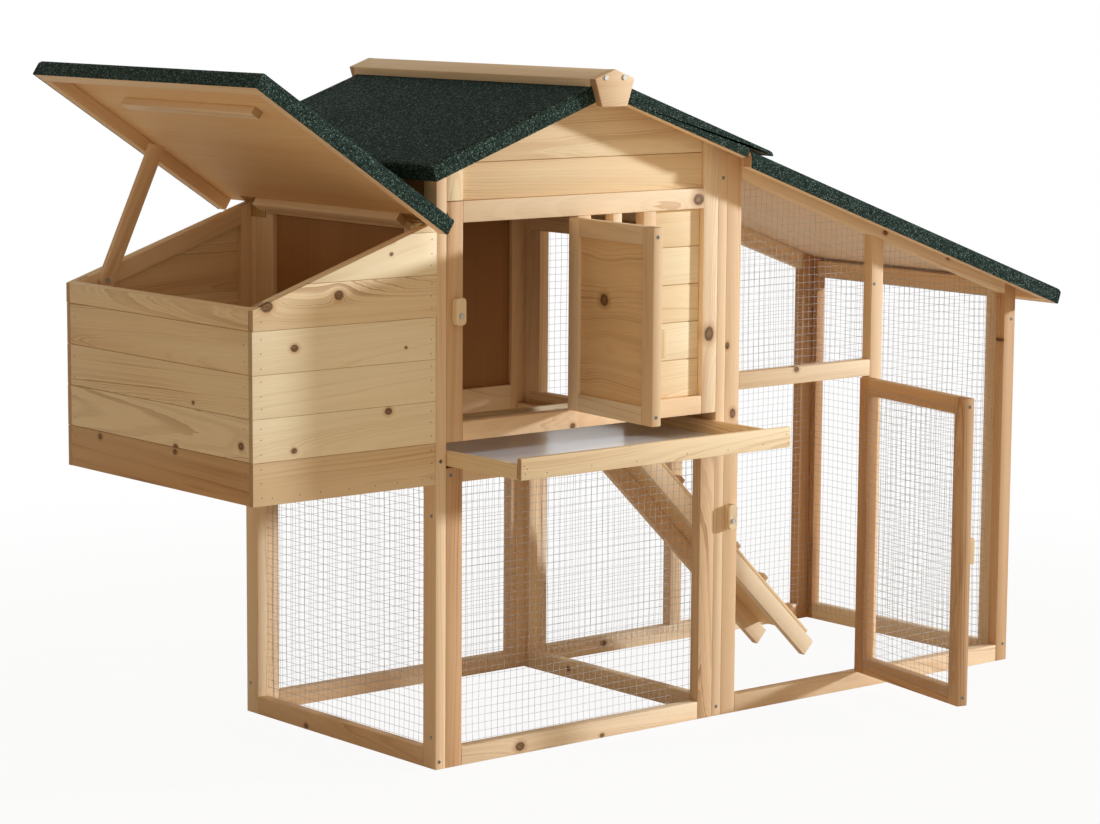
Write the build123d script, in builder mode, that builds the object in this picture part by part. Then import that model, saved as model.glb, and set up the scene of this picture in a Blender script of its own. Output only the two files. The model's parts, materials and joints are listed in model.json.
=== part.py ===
from build123d import *
import os
from math import cos, radians, sin, sqrt, tan

os.makedirs("parts", exist_ok=True)

# A small wooden hen house with a nest box on its left and a lean-to run on its right.
# X runs along the front, Y into the depth, Z up; the origin is on the ground under the partition.
# Everything is drawn in the open pose: doors and tray out, nest lid held up.

# Driving sizes, in millimetres and degrees
frame_thick = 20.0        # thickness of every panel frame
post_face = 32.0          # width of an upright
run_post_face = 28.0      # width of the run's own uprights
rail_face = 30.0          # height of a rail
board_thick = 10.0        # thickness of wall boards
board_face = 65.0         # height of one wall board
frame_depth = 514.0       # front face to back face
house_width = 604.0       # left face of the house to the run side of the partition
run_length = 706.0        # partition to the right end of the run

lower_panel_top = 474.0   # top of the panel under the tray
lower_top_rail = 24.0     # height of that panel's top rail
slot_height = 40.0        # opening for the tray
header_bottom = 852.0     # top of the house door's opening
header_face = 33.0        # height of the header rail
gable_board = 58.0        # height of the lower gable board
gable_recess = 5.0        # how far the gable boards stand back

house_opening = 231.0     # width of the house doorway
window_stile = 27.0       # uprights either side of the window
window_bar = 19.0         # bar in the middle of the window
window_gap = 46.0         # clear space each side of the bar
window_sill = 716.0       # bottom of the window
sill_face = 16.0          # height of the rail under the window

house_door_thick = 17.0   # thickness of the house door
run_door_thick = 20.0     # thickness of the run door
stile_face = 28.0         # width of the doors' stiles and rails
panel_thick = 8.0         # thickness of the house door's panel
house_door_open = 84.2    # how far the house door stands open
run_door_open = 78.7      # how far the run door stands open
run_opening = 308.0       # width of the run doorway
run_door_top = 547.0      # height of the run doorway
back_post_shift = 10.0    # the back panel's middle post stands this far left of the front one
mid_rail_face = 28.0      # rail over the run doorway
handle_size = (20.0, 11.0, 43.0)   # handle block: width, reach, height
house_handle_z = 649.0    # bottom of the house door's handle
run_handle_z = 268.0      # bottom of the run door's handle

latch_size = (19.0, 12.0, 42.0)    # turn button: width, thickness, height
latch_pivot_up = 14.5     # screw above the button's lower end
house_latch_z = 710.0     # height of the house button's screw
run_latch_z = 330.0       # height of the run button's screw
run_latch_in = 12.0       # run button's screw from the post's left edge
screw_radius = 2.0        # shank of a pivot screw
screw_head = 4.0          # radius of a screw's head
screw_head_thick = 1.6    # thickness of a screw's head
screw_bite = 12.0         # how far a screw goes into the wood behind

pop_front = 230.0         # front jamb of the pop hole, from the front face
pop_back = 456.0          # back jamb of the pop hole, from the front face
pop_sill = 497.0          # bottom of the pop hole
pop_top = 782.0           # top of the pop hole
pop_sill_face = 60.0      # height of the rail under the pop hole
jamb_face = 26.0          # width of the pop hole's jambs

nest_reach = 340.0        # how far the nest box stands out
nest_bottom = 450.0       # underside of the nest box
nest_floor_up = 6.0       # floor above the bottom edge of the boards
nest_pitch = 18.6         # slope of the nest's top edge
nest_batten = (12.0, 28.0)         # slanted batten: thickness, height
nest_post = 20.0          # width of the nest's corner posts
entrance_top = 690.0      # top of the rail over the nest entrance
entrance_jamb = 50.0      # boards either side of the sheet over the nest entrance
wall_sheet = 5.0          # thickness of the plain sheets in the left and back walls
back_rail_low = 454.0     # underside of the back panel's middle rail
back_rail_face = 56.0     # height of that rail

lid_axis_z = 854.8        # height of the lid's hinge pins
lid_open = 33.2           # slope of the open lid
lid_length = 420.0        # pins to the outer edge of the lid
lid_batten = (18.0, 13.0) # underside batten: width, depth
lid_batten_inset = 129.0  # outer batten's ends from the lid's sides
hinge_batten_inset = 114.0         # hinge batten's ends from the lid's sides

prop_out = 284.0          # prop's screw from the house wall
prop_below = 16.5         # prop's screw below the nest's sloping edge
prop_lean = 24.9          # lean of the prop from upright
prop_length = 235.5       # screw to the tip
prop_bevel = 6.0          # slant of the prop's tip
prop_face = 26.0          # width of the prop
prop_thick = 10.0         # thickness of the prop

roof_pitch = 19.6         # slope of all three roof panels
eave_height = 955.7       # underside of the house roof's sheet over the side walls
eave_overhang = 43.0      # roof past the left wall
flap_overhang = 52.0      # right roof panel past the partition
run_roof_drop = 14.0      # run roof below the house roof
run_roof_start = 7.0      # run roof's rim from the partition
run_overhang = 62.0       # run roof past the run's right end
roof_side = 50.0          # roof past the front and back faces
sheet_thick = 5.0         # thickness of the roof sheets
rim_size = (20.0, 20.0)   # rim batten: width, height
felt_thick = 2.0          # thickness of the roofing felt
cap_half = 40.5           # half width of the ridge cap
cap_thick = 12.0          # thickness of the ridge cap boards
block_thick = 14.0        # thickness of the ridge end blocks
block_foot = 25.8         # half width of an end block's foot
block_height = 58.0       # height of an end block
ridge_screw_out = 19.0    # end block's screws from the middle

ramp_pitch = 43.9         # slope of the ramp
ramp_width = 138.0        # width of the ramp
ramp_front = 250.0        # ramp's front edge from the front face
ramp_reach = 441.0        # ramp's foot from the partition
stringer_size = (14.0, 32.0)       # stringer: thickness, height
plank_thick = 6.0         # thickness of the ramp's plank
plank_short = 26.0        # plank stops short of the stringer's foot
cleat_size = (14.0, 12.0) # cleat: width along the slope, height
cleat_pitch = 95.0        # cleat to cleat
cleat_count = 5           # cleats on the ramp

tray_out = 180.0          # how far the tray stands out
tray_length = 490.0       # tray front to back
tray_front = 33.5         # height of the tray's front board
tray_side = 23.5          # height of the tray's other boards
tray_sheet = 1.5          # thickness of the tray's sheet
runner_size = (20.0, 20.0)         # tray runner: width, height

net_thick = 1.0           # thickness of the mesh sheets
net_lap = 12.0            # mesh over the inside of its frame
net_gaps = 250            # gaps drawn in one mesh sheet
net_wire = 2.4            # width of the strips between the gaps

hinge_long = 40.0         # length of a hinge
hinge_leaf = 22.0         # width of a hinge leaf
leaf_thick = 1.5          # thickness of a hinge leaf
knuckle_radius = 3.0      # outside of the hinge knuckles
pin_radius = 1.8          # hinge pins
pin_stand = 3.4           # pins in front of the face they are fixed to
hinge_inset = 40.0        # hinges from the ends of a door

# Named clearances
board_gap = 0.6           # joint between boards
seat_gap = 0.3            # between pieces of different bodies, and under the roof
door_gap = 1.5            # around a closed door
pin_clear = 0.05          # radial clearance on pins and pivot screws
knuckle_gap = 0.4         # between knuckles along a pin
latch_gap = 0.5           # between a turn button and the face behind it
lid_batten_gap = 16.0     # outer lid batten to the nest's left wall, lid closed
tray_gap = 1.5            # tray to the panels either side
net_clear = 0.2           # between a mesh sheet and its neighbour

# Places that follow from the sizes
left = frame_thick / 2 - house_width
right = left + house_width + run_length
front = -frame_depth / 2
back = front + frame_depth
front_left = left + frame_thick
wall_left = left + house_width - frame_thick
wall_right = left + house_width
ridge_x = left + house_width / 2
inner_front = front + frame_thick
inner_back = back - frame_thick
upper_bottom = lower_panel_top + slot_height
header_top = header_bottom + header_face
floor_rail = lower_panel_top - rail_face
slope = tan(radians(roof_pitch))
tilt_x = sin(radians(roof_pitch))
tilt_z = cos(radians(roof_pitch))
post_in_front = front + post_face
post_in_back = back - post_face


def house_under(x):
    """Underside of the house roof's sheet at a place along the front."""
    return eave_height + slope * (house_width / 2 - abs(x - ridge_x))


def run_under(x):
    """Underside of the run roof's sheet at a place along the front."""
    return eave_height - run_roof_drop - slope * (x - wall_right)


def nest_top(x):
    """Top edge of the nest box, just under the closed lid."""
    fall = tan(radians(nest_pitch)) * (left - pin_stand - x)
    return lid_axis_z - seat_gap / cos(radians(nest_pitch)) - fall


def timber(low, high, plane=Plane.XY):
    """One straight piece of wood from its low corner to its high corner."""
    with BuildPart(plane) as piece:
        with Locations(tuple((a + b) / 2 for a, b in zip(low, high))):
            Box(*[b - a for a, b in zip(low, high)])
    return piece.part


def sawn(outline, y_low, y_high):
    """A board sawn to an outline in X and Z and as thick as its span in Y."""
    with BuildPart() as piece:
        with BuildSketch(Plane.XZ.offset(-y_low)):
            with BuildLine():
                Polyline(*outline, close=True)
            make_face()
        extrude(amount=y_low - y_high)
    return piece.part


def under_roof(x_low, x_high, z_low, roof):
    """Outline of an upright whose top is cut to the slope of a roof over it."""
    top_low = roof(x_low) - seat_gap
    top_high = roof(x_high) - seat_gap
    return [(x_low, z_low), (x_high, z_low), (x_high, top_high), (x_low, top_low)]


def stacked(z_low, z_high, make):
    """Boards one above the other, with a thin joint between them."""
    count = max(1, round((z_high - z_low) / board_face))
    step = (z_high - z_low) / count
    half = board_gap / 2
    return [make(z_low + i * step + half, z_low + (i + 1) * step - half) for i in range(count)]


def net(outline, plane):
    """A flat mesh sheet with its gaps, drawn on the face it is stapled to."""
    wide = max(p[0] for p in outline) - min(p[0] for p in outline)
    high = max(p[1] for p in outline) - min(p[1] for p in outline)
    middle = (min(p[0] for p in outline) + wide / 2, min(p[1] for p in outline) + high / 2)
    pitch = sqrt(wide * high / net_gaps)
    columns = int((wide - 2 * net_lap) / pitch)
    rows = int((high - 2 * net_lap) / pitch)
    with BuildSketch() as border:
        with BuildLine():
            Polyline(*outline, close=True)
        make_face()
    with BuildSketch() as gaps:
        with Locations(middle):
            with GridLocations(pitch, pitch, columns, rows):
                Rectangle(pitch - net_wire, pitch - net_wire)
        add(offset(border.sketch, -net_lap, kind=Kind.INTERSECTION, mode=Mode.PRIVATE), mode=Mode.INTERSECT)
    with BuildPart() as sheet:
        with BuildSketch(plane):
            add(border.sketch)
            add(gaps.sketch, mode=Mode.SUBTRACT)
        extrude(amount=net_thick)
    return sheet.part


def leaf(plane, start, face, fixed):
    """One hinge leaf: a plate with its knuckles; the fixed leaf carries the pin.

    The plane's Z is the pin, its X runs along the plate, and the plate lies on the face at that Y.
    """
    third = hinge_long / 3
    if fixed:
        spans = [(third + knuckle_gap, 2 * third - knuckle_gap)]
    else:
        spans = [(0, third), (2 * third, hinge_long)]
    plate_in = knuckle_radius + knuckle_gap
    side = leaf_thick if fixed or face < 0 else -leaf_thick
    with BuildPart(plane) as piece:
        with Locations(((plate_in + hinge_leaf) / 2, face + side / 2, start + hinge_long / 2)):
            Box(hinge_leaf - plate_in, leaf_thick, hinge_long)
        for low, high in spans:
            with Locations((plate_in / 2, face + side / 2, start + (low + high) / 2)):
                Box(plate_in, leaf_thick, high - low)
            with Locations((0, 0, start + (low + high) / 2)):
                Cylinder(knuckle_radius, high - low)
        with Locations((0, 0, start + hinge_long / 2)):
            if fixed:
                Cylinder(pin_radius, hinge_long)
            else:
                Cylinder(pin_radius + pin_clear, hinge_long, mode=Mode.SUBTRACT)
    return piece.part


def screw(plane, under_head):
    """A round-head screw: the plane lies on the wood, its Z points out of it."""
    with BuildPart(plane) as piece:
        with Locations((0, 0, (under_head - screw_bite) / 2)):
            Cylinder(screw_radius, under_head + screw_bite)
        with Locations((0, 0, under_head + screw_head_thick / 2)):
            Cylinder(screw_head, screw_head_thick)
    return piece.part


def save(name, pieces):
    """Write one node: a single piece, or several pieces kept apart."""
    if len(pieces) == 1:
        node = pieces[0]
    else:
        node = Compound(children=pieces)
    node.label = name
    export_step(node, f"parts/{name}.step")


# Left side panel: two uprights cut to the roof, and rails under, over and beside the nest entrance
left_uprights = [
    sawn(under_roof(left, front_left, 0, house_under), y, y + post_face) for y in (front, post_in_back)
]
top_rail_z = house_under(left) - seat_gap - rail_face
lid_rail_z = lid_axis_z - rail_face / 2
left_rails = [
    timber((left, post_in_front, z), (front_left, post_in_back, z + rail_face))
    for z in (0, floor_rail, entrance_top - rail_face, lid_rail_z, top_rail_z)
]
left_jambs = [
    timber((left, y, entrance_top), (front_left, y + entrance_jamb, lid_rail_z))
    for y in (post_in_front, post_in_back - entrance_jamb)
]
save("left_side_frame", left_uprights + left_rails + left_jambs)

# Plain sheets over the nest entrance and over the lid's rail, in the middle of the panel's thickness
sheet_x = left + (frame_thick - wall_sheet) / 2
left_sheets = [
    timber((sheet_x, post_in_front + inset, low), (sheet_x + wall_sheet, post_in_back - inset, high))
    for inset, low, high in ((entrance_jamb, entrance_top, lid_rail_z), (0, lid_rail_z + rail_face, top_rail_z))
]
save("left_wall_sheet", left_sheets)

# Mesh inside the left panel, below the nest box
net_low = rail_face - net_lap
net_in = post_face - net_lap
left_net = net(
    [
        (front + net_in, net_low),
        (back - net_in, net_low),
        (back - net_in, floor_rail + net_lap),
        (front + net_in, floor_rail + net_lap),
    ],
    Plane.YZ.offset(front_left),
)
save("left_side_mesh", [left_net])

# Lower front panel
lower_front = [
    timber((front_left, front, 0), (front_left + post_face, inner_front, lower_panel_top)),
    timber((wall_left - post_face, front, 0), (wall_left, inner_front, lower_panel_top)),
    timber((front_left + post_face, front, 0), (wall_left - post_face, inner_front, rail_face)),
    timber(
        (front_left + post_face, front, lower_panel_top - lower_top_rail),
        (wall_left - post_face, inner_front, lower_panel_top),
    ),
]
save("front_lower_frame", lower_front)

lower_net_top = lower_panel_top - lower_top_rail + net_lap
lower_net = net(
    [
        (front_left + net_in, net_low),
        (wall_left - net_in, net_low),
        (wall_left - net_in, lower_net_top),
        (front_left + net_in, lower_net_top),
    ],
    Plane.XZ.offset(-inner_front - net_thick),
)
save("front_lower_mesh", [lower_net])

# Upper front panel: the left upright stops at the header, the right one runs up to the roof
door_left = front_left + post_face
door_right = door_left + house_opening
upper_rail_top = upper_bottom + rail_face
upper_front = [
    timber((front_left, front, upper_bottom), (door_left, inner_front, header_top)),
    sawn(under_roof(wall_left - post_face, wall_left, upper_bottom, house_under), front, inner_front),
    timber((door_left, front, upper_bottom), (wall_left - post_face, inner_front, upper_rail_top)),
    timber((door_left, front, header_bottom), (wall_left - post_face, inner_front, header_top)),
]
save("front_upper_frame", upper_front)


def gable(x_low, x_high, y_low):
    """Two gable boards between a header and the roof."""
    split = header_top + gable_board
    lower = timber(
        (x_low, y_low, header_top + board_gap / 2), (x_high, y_low + board_thick, split - board_gap / 2)
    )
    outline = [(x_low, split + board_gap / 2), (x_high, split + board_gap / 2)]
    outline += [(x, house_under(x) - seat_gap) for x in (x_high, ridge_x, x_low)]
    return [lower, sawn(outline, y_low, y_low + board_thick)]


# Gable boards over the header, with a short strip over the left upright
front_gable = gable(door_left, wall_left - post_face, front + gable_recess)
front_gable.append(
    sawn(under_roof(front_left, door_left, header_top + board_gap, house_under), front, inner_front)
)
save("front_gable_boards", front_gable)

# Window beside the doorway: stile, bar, stile and a rail under them
bar_x = door_right + window_stile + window_gap
far_stile_x = bar_x + window_bar + window_gap
siding_x = far_stile_x + window_stile
window = [
    timber((x, front, upper_rail_top), (x + wide, inner_front, header_bottom))
    for x, wide in ((door_right, window_stile), (far_stile_x, window_stile))
]
window.append(timber((bar_x, front, window_sill), (bar_x + window_bar, inner_front, header_bottom)))
window.append(
    timber(
        (door_right + window_stile, front, window_sill - sill_face), (far_stile_x, inner_front, window_sill)
    )
)
save("window_frame", window)

# Siding boards: beside the window at full height, and a short stack under it
siding_y = inner_front - board_thick
siding = stacked(
    upper_rail_top,
    header_bottom,
    lambda low, high: timber((siding_x, siding_y, low), (wall_left - post_face, inner_front, high)),
)
siding += stacked(
    upper_rail_top,
    window_sill - sill_face,
    lambda low, high: timber((door_right + window_stile, siding_y, low), (far_stile_x, inner_front, high)),
)
save("front_siding", siding)

# Back panel of the house: a plain sheet above the tray, mesh below
back_frame = [
    sawn(under_roof(x, x + post_face, 0, house_under), inner_back, back)
    for x in (front_left, wall_left - post_face)
]
back_frame += [
    timber((door_left, inner_back, z), (wall_left - post_face, back, z + high))
    for z, high in ((0, rail_face), (back_rail_low, back_rail_face), (header_bottom, header_face))
]
save("back_frame", back_frame)

back_sheet_y = inner_back + (frame_thick - wall_sheet) / 2
back_sheet = timber(
    (door_left, back_sheet_y, back_rail_low + back_rail_face),
    (wall_left - post_face, back_sheet_y + wall_sheet, header_bottom),
)
save("back_wall_sheet", [back_sheet])
save("back_gable_boards", gable(door_left, wall_left - post_face, back - gable_recess - board_thick))

back_net = net(
    [
        (front_left + net_in, net_low),
        (wall_left - net_in, net_low),
        (wall_left - net_in, back_rail_low + net_lap),
        (front_left + net_in, back_rail_low + net_lap),
    ],
    Plane.XZ.offset(-inner_back),
)
save("back_mesh", [back_net])

# Partition between house and run, with the pop hole
partition = [
    sawn(under_roof(wall_left, wall_right, 0, house_under), y, y + post_face) for y in (front, post_in_back)
]
partition += [
    timber((wall_left, post_in_front, z), (wall_right, post_in_back, z + high))
    for z, high in ((0, rail_face), (pop_sill - pop_sill_face, pop_sill_face), (pop_top, rail_face))
]
partition += [
    timber((wall_left, front + y, pop_sill), (wall_right, front + y + jamb_face, pop_top))
    for y in (pop_front - jamb_face, pop_back)
]
save("partition_frame", partition)

partition_x = wall_left + (frame_thick - board_thick) / 2
partition_boards = stacked(
    pop_sill,
    pop_top,
    lambda low, high: timber(
        (partition_x, post_in_front, low), (partition_x + board_thick, front + pop_front - jamb_face, high)
    ),
)
partition_boards += stacked(
    pop_top + rail_face,
    house_under(wall_right) - seat_gap,
    lambda low, high: timber(
        (partition_x, post_in_front, low), (partition_x + board_thick, post_in_back, high)
    ),
)
save("partition_boards", partition_boards)

# Runners that carry the tray, clear of the mesh sheets
tray_bottom = lower_panel_top + slot_height / 2 - tray_front / 2
runner_top = tray_bottom - seat_gap
runner_in = net_thick + net_clear
runners = [
    timber(
        (x, inner_front + runner_in, runner_top - runner_size[1]),
        (x + runner_size[0], inner_back - runner_in, runner_top),
    )
    for x in (front_left + runner_in, wall_left - runner_size[0])
]
save("tray_runners", runners)

# Nest box: side boards cover the ends of the left wall's boards
nest_left = left - nest_reach
nest_wall = nest_left + board_thick


def nest_side(y_low):
    """Boards of one nest side, the upper ones cut to the slope."""
    courses = int((nest_top(left) - nest_bottom) / board_face)
    pieces = []
    for i in range(courses + 1):
        low = nest_bottom + i * board_face + board_gap / 2
        high = min(nest_bottom + (i + 1) * board_face - board_gap / 2, nest_top(left))
        if high - low < board_gap:
            continue
        start = max(nest_left, left - (nest_top(left) - low - board_gap) / tan(radians(nest_pitch)))
        outline = [(start, low), (left, low), (left, high)]
        turn = left - (nest_top(left) - high) / tan(radians(nest_pitch))
        if turn <= nest_left:
            outline.append((nest_left, high))
        else:
            if turn < left:
                outline.append((turn, high))
            outline.append((start, nest_top(start)))
        pieces.append(sawn(outline, y_low, y_low + board_thick))
    return pieces


save("nest_front_boards", nest_side(front))
save("nest_back_boards", nest_side(back - board_thick))

nest_courses = int((nest_top(nest_left) - nest_bottom) / board_face)
nest_wall_boards = []
for i in range(nest_courses + 1):
    low = nest_bottom + i * board_face + board_gap / 2
    high = nest_bottom + (i + 1) * board_face - board_gap / 2
    if i == nest_courses:
        outline = [(nest_left, low), (nest_wall, low)]
        outline += [(nest_wall, nest_top(nest_wall)), (nest_left, nest_top(nest_left))]
    else:
        outline = [(nest_left, low), (nest_wall, low), (nest_wall, high), (nest_left, high)]
    nest_wall_boards.append(sawn(outline, front + board_thick, back - board_thick))
save("nest_left_boards", nest_wall_boards)

# Corner posts and slanted battens inside the nest's sides
batten_drop = nest_batten[1] / cos(radians(nest_pitch))
floor_top = nest_bottom + nest_floor_up + board_thick
nest_inside = []
for y in (front + board_thick, back - board_thick - nest_batten[0]):
    for x in (nest_wall, left - nest_post):
        outline = [(x, floor_top), (x + nest_post, floor_top)]
        outline += [(x + nest_post, nest_top(x + nest_post)), (x, nest_top(x))]
        nest_inside.append(sawn(outline, y, y + nest_batten[0]))
    ends = (nest_wall + nest_post, left - nest_post)
    outline = [(x, nest_top(x) - batten_drop) for x in ends] + [(x, nest_top(x)) for x in reversed(ends)]
    nest_inside.append(sawn(outline, y, y + nest_batten[0]))
save("nest_battens", nest_inside)

nest_floor = timber(
    (nest_wall, front + board_thick, nest_bottom + nest_floor_up), (left, back - board_thick, floor_top)
)
save("nest_floor", [nest_floor])

# Run front panel
run_left = wall_right + post_face
centre_x = run_left + run_opening
end_face = right - frame_thick
rail_drop = rail_face / tilt_z


def rail_under(x):
    """Lower edge of the run's slanted top rails."""
    return run_under(x) - seat_gap - rail_drop


def run_panel(y_low, x_post, x_end):
    """Uprights, slanted top rail, bottom rail and centre post of a long run panel."""
    y_high = y_low + frame_thick
    inner = x_end - run_post_face
    slant = [(x, rail_under(x)) for x in (run_left, inner)]
    slant += [(x, run_under(x) - seat_gap) for x in (inner, run_left)]
    centre = [(x_post, rail_face), (x_post + run_post_face, rail_face)]
    centre += [(x, rail_under(x)) for x in (x_post + run_post_face, x_post)]
    return [
        sawn(under_roof(wall_right, run_left, 0, run_under), y_low, y_high),
        sawn(under_roof(inner, x_end, 0, run_under), y_low, y_high),
        sawn(slant, y_low, y_high),
        timber((run_left, y_low, 0), (inner, y_high, rail_face)),
        sawn(centre, y_low, y_high),
    ]


run_front = run_panel(front, centre_x, right)
run_front.append(
    timber((run_left, front, run_door_top), (centre_x, inner_front, run_door_top + mid_rail_face))
)
save("run_front_frame", run_front)
save("run_back_frame", run_panel(inner_back, centre_x - back_post_shift, end_face))

# Mesh of the run: over the doorway, right of it, along the back and at the end
def run_net(x_low, x_high, z_low, y):
    """A mesh sheet whose top edge follows the run's slanted rail."""
    tops = [(x, rail_under(x) + net_lap) for x in (x_high, x_low)]
    return net([(x_low, z_low), (x_high, z_low)] + tops, Plane.XZ.offset(-y))


net_end = end_face - net_thick - net_clear
run_net_y = inner_front + net_thick
save(
    "run_front_mesh_top",
    [run_net(run_left - net_lap, centre_x + net_lap, run_door_top + mid_rail_face - net_lap, run_net_y)],
)
save("run_front_mesh_side", [run_net(centre_x + run_post_face - net_lap, net_end, net_low, run_net_y)])
save("run_back_mesh", [run_net(run_left - net_lap, net_end, net_low, inner_back)])

end_rail_top = run_under(right) - seat_gap
run_end = [
    sawn(under_roof(end_face, right, 0, run_under), y, y + post_face)
    for y in (inner_front, post_in_back)
]
run_end += [
    timber((end_face, inner_front + post_face, z), (right, post_in_back, z + rail_face))
    for z in (0, end_rail_top - rail_face)
]
save("run_end_frame", run_end)

end_net_top = end_rail_top - rail_face + net_lap
end_net_back = inner_back - net_thick - net_clear
end_net = net(
    [
        (inner_front + net_in, net_low),
        (end_net_back, net_low),
        (end_net_back, end_net_top),
        (inner_front + net_in, end_net_top),
    ],
    Plane.YZ.offset(end_face - net_thick),
)
save("run_end_mesh", [end_net])

# Ramp from the pop hole down to the ground: stringers, plank and cleats
ramp_tan = tan(radians(ramp_pitch))
ramp_sin = sin(radians(ramp_pitch))
ramp_cos = cos(radians(ramp_pitch))
foot_x = wall_right + ramp_reach
ramp_y = front + ramp_front


def ramp_outline(low, high, start):
    """Outline between two heights over the ramp's lower edge, cut upright at the partition."""
    ends = [(foot_x - start * ramp_cos + n * ramp_sin, start * ramp_sin + n * ramp_cos) for n in (low, high)]
    tops = [(wall_right, z + (x - wall_right) * ramp_tan) for x, z in ends]
    return [ends[0], ends[1], tops[1], tops[0]]


stringer_outline = ramp_outline(0, stringer_size[1], 0)
save(
    "ramp_stringers",
    [
        sawn(stringer_outline, y, y + stringer_size[0])
        for y in (ramp_y, ramp_y + ramp_width - stringer_size[0])
    ],
)
plank_top = stringer_size[1] + plank_thick
save(
    "ramp_plank",
    [sawn(ramp_outline(stringer_size[1], plank_top, plank_short), ramp_y, ramp_y + ramp_width)],
)
ramp_plane = Plane(origin=(foot_x, ramp_y, 0), x_dir=(-ramp_cos, 0, ramp_sin), z_dir=(ramp_sin, 0, ramp_cos))
cleats = []
for i in range(cleat_count):
    start = plank_short + cleat_pitch * (i + 0.5)
    cleats.append(
        timber(
            (start, -ramp_width + stringer_size[0] / 2, plank_top),
            (start + cleat_size[0], -stringer_size[0] / 2, plank_top + cleat_size[1]),
            ramp_plane,
        )
    )
save("ramp_cleats", cleats)


# Roofs: a thin sheet, rim battens hanging under its edges, and felt over the lot
def on_slope(x, rise, roof, side):
    """A point square above a place on a roof's underside; side is 1 where it falls to the right."""
    return (x + side * rise * tilt_x, roof(x) + rise * tilt_z)


def layer(low, high, x_top, x_end, roof, side):
    """Outline of one roof layer: upright cut at its top end, square cut at its lower end."""
    return [
        (x_top, roof(x_top) + low / tilt_z),
        on_slope(x_end, low, roof, side),
        on_slope(x_end, high, roof, side),
        (x_top, roof(x_top) + high / tilt_z),
    ]


roof_front = front - roof_side
roof_back = back + roof_side
sheet_front = roof_front + felt_thick
sheet_back = roof_back - felt_thick
rim_wide = rim_size[0]
rim_high = rim_size[1]
felt_top = sheet_thick + felt_thick


def rims(x_top, x_end, roof, side, has_end):
    """Rim battens under a roof sheet: front, back and, where there is one, the lower end."""
    inner = x_end - side * rim_wide * tilt_z
    pieces = []
    for y in (sheet_front, sheet_back - rim_wide):
        pieces.append(sawn(layer(-rim_high, 0, x_top, x_end, roof, side), y, y + rim_wide))
    if has_end:
        corners = ((inner, -rim_high), (x_end, -rim_high), (x_end, 0), (inner, 0))
        outline = [on_slope(x, rise, roof, side) for x, rise in corners]
        pieces.append(sawn(outline, sheet_front + rim_wide, sheet_back - rim_wide))
    return pieces


def felt(x_top, x_rim, x_end, roof, side, end_low):
    """Felt over one roof sheet, turned down over the front, the back and the lower end."""
    skin = x_end + side * felt_thick * tilt_z
    with BuildPart() as piece:
        add(sawn(layer(sheet_thick, felt_top, x_top, skin, roof, side), roof_front, roof_back))
        for y in (roof_front, sheet_back):
            add(sawn(layer(0, sheet_thick, x_top, skin, roof, side), y, y + felt_thick))
            add(sawn(layer(-rim_high, 0, x_top, x_rim, roof, side), y, y + felt_thick))
        corners = ((x_end, end_low), (skin, end_low), (skin, felt_top), (x_end, felt_top))
        outline = [on_slope(x, rise, roof, side) for x, rise in corners]
        add(sawn(outline, roof_front, roof_back))
    return piece.part


eave_x = left - eave_overhang
flap_x = wall_right + flap_overhang
rim_stop = wall_right + run_roof_start / 2
ridge_left = ridge_x - seat_gap
ridge_right = ridge_x + seat_gap
left_sheet = layer(0, sheet_thick, ridge_left, eave_x, house_under, -1)
right_sheet = layer(0, sheet_thick, ridge_right, flap_x, house_under, 1)
save("roof_left_sheet", [sawn(left_sheet, sheet_front, sheet_back)])
save("roof_right_sheet", [sawn(right_sheet, sheet_front, sheet_back)])
roof_rims = rims(ridge_left, eave_x, house_under, -1, True)
roof_rims += rims(ridge_right, rim_stop, house_under, 1, False)
save("roof_rims", roof_rims)
skin_eave = eave_x - felt_thick * tilt_z
save("roof_left_felt", [felt(ridge_left, skin_eave, eave_x, house_under, -1, -rim_high)])
save("roof_right_felt", [felt(ridge_right, rim_stop, flap_x, house_under, 1, 0)])

run_top_x = wall_right + run_roof_start
run_end_x = right + run_overhang
run_sheet = layer(0, sheet_thick, run_top_x, run_end_x, run_under, 1)
save("run_roof_sheet", [sawn(run_sheet, sheet_front, sheet_back)])
save("run_roof_rims", rims(run_top_x, run_end_x, run_under, 1, True))
skin_end = run_end_x + felt_thick * tilt_z
save("run_roof_felt", [felt(run_top_x, skin_end, run_end_x, run_under, 1, -rim_high)])

# Ridge cap: two boards on the felt, and a pentagon block with two screws at each end
cap_low = house_under(ridge_x) + felt_top / tilt_z
cap_top = cap_low + cap_thick / tilt_z
cap_boards = []
for side in (-1, 1):
    near = ridge_x + side * seat_gap
    far = ridge_x + side * cap_half
    drop = slope * (cap_half - seat_gap)
    outline = [(near, cap_low), (far, cap_low - drop), (far, cap_top - drop), (near, cap_top)]
    cap_boards.append(sawn(outline, roof_front, roof_back))
save("ridge_cap_boards", cap_boards)

shoulder = cap_top - slope * cap_half
block_outline = [
    (ridge_x - block_foot, cap_top - block_height),
    (ridge_x + block_foot, cap_top - block_height),
    (ridge_x + cap_half, shoulder),
    (ridge_x, cap_top),
    (ridge_x - cap_half, shoulder),
]
save(
    "ridge_end_blocks",
    [sawn(block_outline, y, y + block_thick) for y in (roof_front - block_thick, roof_back)],
)
screw_z = cap_top - slope * ridge_screw_out - cap_thick / 2
ridge_screws = []
for x in (ridge_x - ridge_screw_out, ridge_x + ridge_screw_out):
    ridge_screws.append(screw(Plane(origin=(x, roof_front - block_thick, screw_z), z_dir=(0, -1, 0)), 0))
    ridge_screws.append(screw(Plane(origin=(x, roof_back + block_thick, screw_z), z_dir=(0, 1, 0)), 0))


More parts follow.
